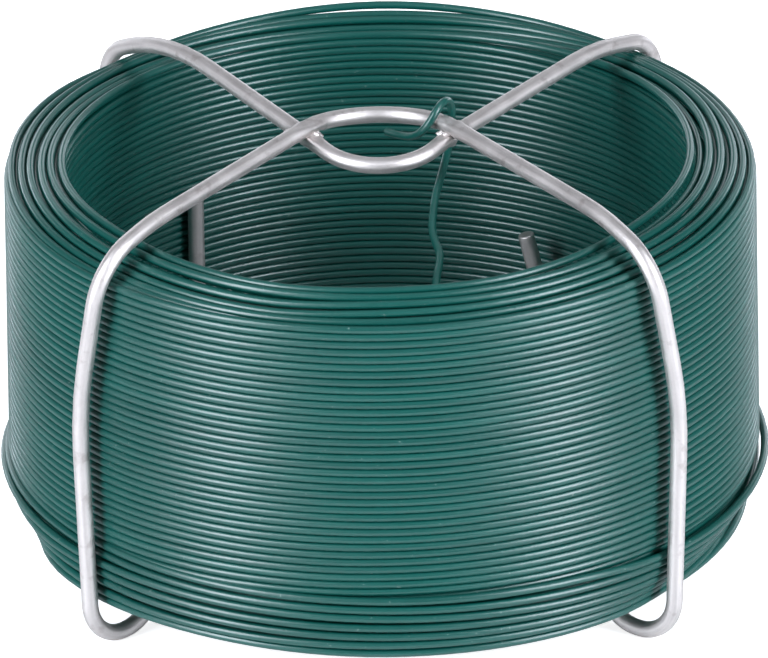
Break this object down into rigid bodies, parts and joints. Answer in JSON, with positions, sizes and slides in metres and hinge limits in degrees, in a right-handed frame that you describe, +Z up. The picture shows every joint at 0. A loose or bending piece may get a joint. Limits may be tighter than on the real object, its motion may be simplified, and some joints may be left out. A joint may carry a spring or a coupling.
{
  "type": "spool of garden wire",
  "caption": "Ring coil of green plastic-coated garden wire, held by a galvanised wire holder with four hooks and a hanging eye.",
  "frame": {"origin": "on the floor, under the centre of the object's box, which is the coil's axis", "axes": "+Z up along the coil's axis, +X along the line through the two welds of the holder, -Y towards the front arms"},
  "size_m": [0.116, 0.116, 0.0713],
  "materials": {
    "green_coating": "smooth extruded plastic coating, half gloss",
    "galvanised_wire": "bright galvanised, drawn wire"
  },
  "bodies": {
    "root": {"wire_coil": "green_coating", "wire_tail": "green_coating", "front_holder_wire": "galvanised_wire", "back_holder_wire": "galvanised_wire"}
  },
  "joints": []
}
